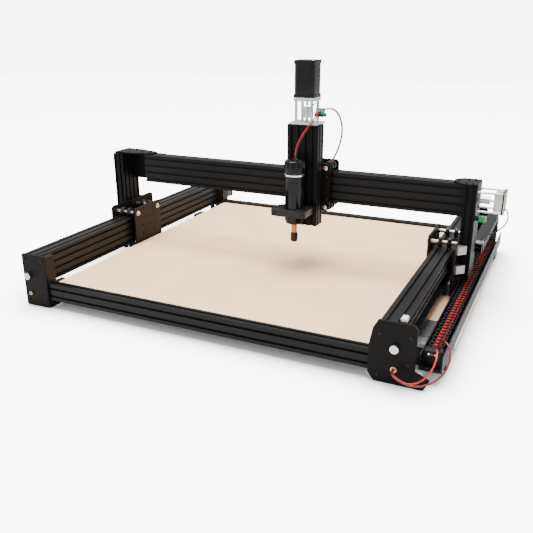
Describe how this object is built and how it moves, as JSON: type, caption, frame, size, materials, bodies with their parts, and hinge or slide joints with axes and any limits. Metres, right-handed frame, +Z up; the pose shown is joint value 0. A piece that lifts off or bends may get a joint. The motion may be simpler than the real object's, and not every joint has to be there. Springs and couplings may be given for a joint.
{
  "type": "cnc router",
  "caption": "Desktop gantry router: extruded rails on a fibreboard bed, wheel-guided gantry, X carriage, Z axis with round spindle, lead-screw drives and a side cable chain.",
  "frame": {"origin": "centre of the wasteboard's top face", "axes": "+Z up, +X along the gantry beam towards its motor, +Y along the Y rails from the front end towards the Y motors"},
  "size_m": [1.1879, 1.1162, 0.615],
  "materials": {
    "black_extrusion": "satin black anodised",
    "board_fibre": "bare medium-density fibreboard",
    "brown_plate": "dark brown laminate plate",
    "bare_aluminium": "bright bare aluminium",
    "black_plastic": "matt black",
    "wheel_black": "satin black polymer",
    "steel_bright": "bright steel",
    "brass_bright": "polished brass",
    "dark_steel": "black oxide",
    "lead_red": "soft glossy insulation"
  },
  "bodies": {
    "frame": {"y_rail_left": "black_extrusion", "y_rail_right": "black_extrusion", "front_beam": "black_extrusion", "rear_beam": "black_extrusion", "left_end_plates": "brown_plate", "right_end_plates": "brown_plate", "corner_blocks": "brown_plate", "cross_members": "black_extrusion", "bed_bearers": "black_extrusion", "wasteboard": "board_fibre", "side_ties": "bare_aluminium", "side_shelf": "board_fibre", "cable_tray": "black_plastic", "y_motors": "dark_steel", "y_motor_mounts": "bare_aluminium", "frame_screws": "dark_steel", "chain_lower": "black_plastic", "front_leads": "lead_red"},
    "gantry": {"y_inner_plates": "brown_plate", "y_outer_plates": "brown_plate", "y_axles": "brass_bright", "y_spacers": "bare_aluminium", "y_drive_nuts": "bare_aluminium", "uprights": "black_extrusion", "upright_brackets": "black_plastic", "x_beam": "black_extrusion", "beam_corner_plates": "brown_plate", "x_motor": "dark_steel", "x_motor_mount": "bare_aluminium", "chain_upper": "black_plastic", "x_motor_lead": "lead_red"},
    "x_carriage": {"x_front_plate": "brown_plate", "x_back_plate": "brown_plate", "x_axles": "steel_bright", "carriage_blocks": "bare_aluminium"},
    "z_axis": {"z_beam": "black_extrusion", "z_motor": "dark_steel", "z_motor_mount": "bare_aluminium", "spindle_clamp": "bare_aluminium", "spindle_body": "dark_steel", "spindle_leads": "lead_red", "carriage_leads": "lead_red"},
    "spindle": {"spindle_shaft": "brass_bright"},
    "chain_loop": {"chain_bend": "black_plastic"},
    "screw_y_left": {"y_screw_left": "steel_bright"},
    "screw_y_right": {"y_screw_right": "steel_bright"},
    "screw_x": {"x_screw": "steel_bright"},
    "screw_z": {"z_screw": "steel_bright"},
    "roll_y_wheels_left_top_front": {"y_wheels_left_top_front": "wheel_black"},
    "roll_y_wheels_left_top_rear": {"y_wheels_left_top_rear": "wheel_black"},
    "roll_y_wheels_left_low_front": {"y_wheels_left_low_front": "wheel_black"},
    "roll_y_wheels_left_low_rear": {"y_wheels_left_low_rear": "wheel_black"},
    "roll_y_wheels_right_top_front": {"y_wheels_right_top_front": "wheel_black"},
    "roll_y_wheels_right_top_rear": {"y_wheels_right_top_rear": "wheel_black"},
    "roll_y_wheels_right_low_front": {"y_wheels_right_low_front": "wheel_black"},
    "roll_y_wheels_right_low_rear": {"y_wheels_right_low_rear": "wheel_black"},
    "roll_x_wheels_top_left": {"x_wheels_top_left": "wheel_black"},
    "roll_x_wheels_low_left": {"x_wheels_low_left": "wheel_black"},
    "roll_x_wheels_top_right": {"x_wheels_top_right": "wheel_black"},
    "roll_x_wheels_low_right": {"x_wheels_low_right": "wheel_black"}
  },
  "joints": [
    {"name": "y_gantry", "type": "slide", "parent": "frame", "child": "gantry", "axis": [0, 1, 0], "range_m": [-0.345, 0.31], "deforming": ["chain_lower", "chain_upper"]},
    {"name": "x_carriage", "type": "slide", "parent": "gantry", "child": "x_carriage", "axis": [1, 0, 0], "range_m": [-0.46, 0.3]},
    {"name": "z_axis", "type": "slide", "parent": "x_carriage", "child": "z_axis", "axis": [0, 0, 1], "range_m": [-0.08, 0.06]},
    {"name": "spindle_spin", "type": "hinge", "parent": "z_axis", "child": "spindle", "pos_m": [0.099, -0.101, 0.12], "axis": [0, 0, 1], "continuous": true},
    {"name": "chain_roll", "type": "slide", "parent": "gantry", "child": "chain_loop", "axis": [0, 1, 0], "range_m": [-0.157, 0.179]},
    {"name": "y_screw_turn_left", "type": "hinge", "parent": "frame", "child": "screw_y_left", "pos_m": [-0.489, 0, 0.024], "axis": [0, 1, 0], "range_deg": [-16200, 16200]},
    {"name": "y_screw_turn_right", "type": "hinge", "parent": "frame", "child": "screw_y_right", "pos_m": [0.489, 0, 0.024], "axis": [0, 1, 0], "range_deg": [-16200, 16200]},
    {"name": "x_screw_turn", "type": "hinge", "parent": "gantry", "child": "screw_x", "pos_m": [0, 0.021, 0.22], "axis": [1, 0, 0], "range_deg": [-21000, 21000]},
    {"name": "z_screw_turn", "type": "hinge", "parent": "z_axis", "child": "screw_z", "pos_m": [0.105, -0.037, 0.3], "axis": [0, 0, 1], "range_deg": [-3700, 3700]},
    {"name": "y_wheels_left_top_front", "type": "hinge", "parent": "gantry", "child": "roll_y_wheels_left_top_front", "pos_m": [-0.481, -0.074, 0.0928], "axis": [1, 0, 0], "range_deg": [-1680, 1680]},
    {"name": "y_wheels_left_top_rear", "type": "hinge", "parent": "gantry", "child": "roll_y_wheels_left_top_rear", "pos_m": [-0.481, 0.03, 0.0928], "axis": [1, 0, 0], "range_deg": [-1680, 1680]},
    {"name": "y_wheels_left_low_front", "type": "hinge", "parent": "gantry", "child": "roll_y_wheels_left_low_front", "pos_m": [-0.481, -0.074, -0.0128], "axis": [1, 0, 0], "range_deg": [-1680, 1680]},
    {"name": "y_wheels_left_low_rear", "type": "hinge", "parent": "gantry", "child": "roll_y_wheels_left_low_rear", "pos_m": [-0.481, 0.03, -0.0128], "axis": [1, 0, 0], "range_deg": [-1680, 1680]},
    {"name": "y_wheels_right_top_front", "type": "hinge", "parent": "gantry", "child": "roll_y_wheels_right_top_front", "pos_m": [0.481, 0.03, 0.0928], "axis": [1, 0, 0], "range_deg": [-1680, 1680]},
    {"name": "y_wheels_right_top_rear", "type": "hinge", "parent": "gantry", "child": "roll_y_wheels_right_top_rear", "pos_m": [0.481, 0.134, 0.0928], "axis": [1, 0, 0], "range_deg": [-1680, 1680]},
    {"name": "y_wheels_right_low_front", "type": "hinge", "parent": "gantry", "child": "roll_y_wheels_right_low_front", "pos_m": [0.481, 0.03, -0.0128], "axis": [1, 0, 0], "range_deg": [-1680, 1680]},
    {"name": "y_wheels_right_low_rear", "type": "hinge", "parent": "gantry", "child": "roll_y_wheels_right_low_rear", "pos_m": [0.481, 0.134, -0.0128], "axis": [1, 0, 0], "range_deg": [-1680, 1680]},
    {"name": "x_wheels_top_left", "type": "hinge", "parent": "x_carriage", "child": "roll_x_wheels_top_left", "pos_m": [0.055, 0.015, 0.2748], "axis": [0, 1, 0], "range_deg": [-2200, 2200]},
    {"name": "x_wheels_low_left", "type": "hinge", "parent": "x_carriage", "child": "roll_x_wheels_low_left", "pos_m": [0.055, 0.015, 0.1652], "axis": [0, 1, 0], "range_deg": [-2200, 2200]},
    {"name": "x_wheels_top_right", "type": "hinge", "parent": "x_carriage", "child": "roll_x_wheels_top_right", "pos_m": [0.155, 0.015, 0.2748], "axis": [0, 1, 0], "range_deg": [-2200, 2200]},
    {"name": "x_wheels_low_right", "type": "hinge", "parent": "x_carriage", "child": "roll_x_wheels_low_right", "pos_m": [0.155, 0.015, 0.1652], "axis": [0, 1, 0], "range_deg": [-2200, 2200]}
  ],
  "couplings": [
    {"joint": "chain_roll", "follows": "y_gantry", "ratio": -0.5},
    {"joint": "y_screw_turn_left", "follows": "y_gantry", "rad_per_m": 785.4},
    {"joint": "y_screw_turn_right", "follows": "y_gantry", "rad_per_m": 785.4},
    {"joint": "x_screw_turn", "follows": "x_carriage", "rad_per_m": 785.4},
    {"joint": "z_screw_turn", "follows": "z_axis", "rad_per_m": 785.4},
    {"joint": "y_wheels_left_top_front", "follows": "y_gantry", "rad_per_m": -80},
    {"joint": "y_wheels_left_top_rear", "follows": "y_gantry", "rad_per_m": -80},
    {"joint": "y_wheels_left_low_front", "follows": "y_gantry", "rad_per_m": 80},
    {"joint": "y_wheels_left_low_rear", "follows": "y_gantry", "rad_per_m": 80},
    {"joint": "y_wheels_right_top_front", "follows": "y_gantry", "rad_per_m": -80},
    {"joint": "y_wheels_right_top_rear", "follows": "y_gantry", "rad_per_m": -80},
    {"joint": "y_wheels_right_low_front", "follows": "y_gantry", "rad_per_m": 80},
    {"joint": "y_wheels_right_low_rear", "follows": "y_gantry", "rad_per_m": 80},
    {"joint": "x_wheels_top_left", "follows": "x_carriage", "rad_per_m": 80},
    {"joint": "x_wheels_low_left", "follows": "x_carriage", "rad_per_m": -80},
    {"joint": "x_wheels_top_right", "follows": "x_carriage", "rad_per_m": 80},
    {"joint": "x_wheels_low_right", "follows": "x_carriage", "rad_per_m": -80}
  ]
}
